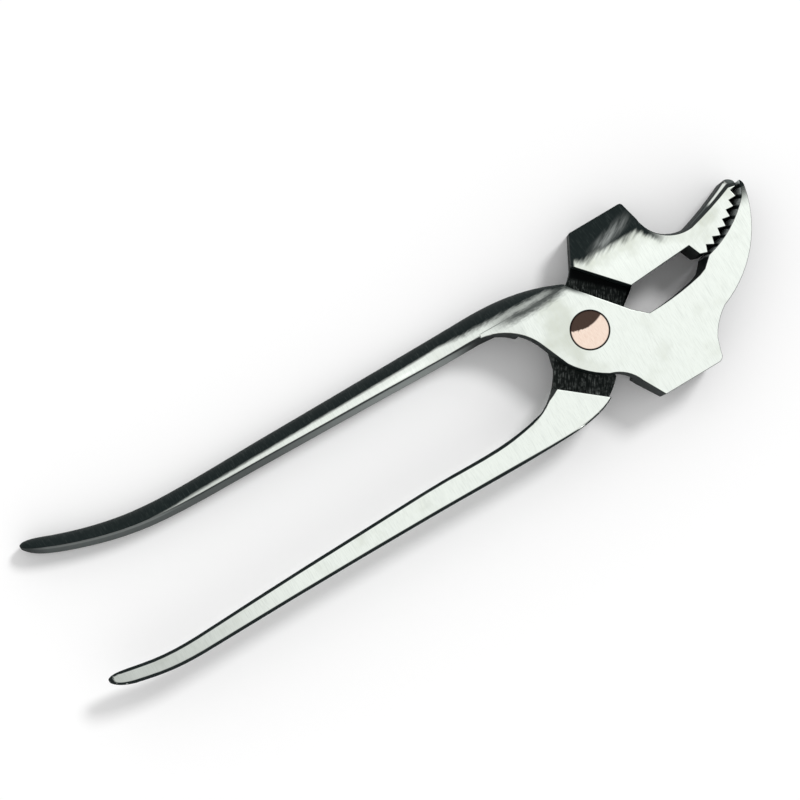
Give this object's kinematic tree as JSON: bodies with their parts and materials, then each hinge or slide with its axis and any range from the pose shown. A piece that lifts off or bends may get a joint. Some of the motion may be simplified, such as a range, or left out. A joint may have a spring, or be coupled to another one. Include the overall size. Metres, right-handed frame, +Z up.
{
  "type": "lasting pliers",
  "caption": "Lasting pliers: lapped steel levers on a flush rivet, with a toothed jaw over a smooth curved beak and a hammer lug beside each jaw.",
  "frame": {"origin": "on the rivet's axis, at the level of the back face that the pliers lie on", "axes": "+X along the tool towards the beak, +Y across it towards the toothed jaw, +Z up through its thickness"},
  "size_m": [0.2179, 0.0547, 0.016],
  "materials": {
    "lever_steel": "finely ground flats, polished bevels",
    "rivet_metal": "ground flush, copper-coloured"
  },
  "bodies": {
    "front": {"front_lever": "lever_steel", "pivot_rivet": "rivet_metal"},
    "back": {"back_lever": "lever_steel"}
  },
  "joints": [
    {"name": "jaw_pivot", "type": "hinge", "parent": "front", "child": "back", "pos_m": [0, 0, 0], "axis": [0, 0, 1], "range_deg": [0, 23]}
  ]
}
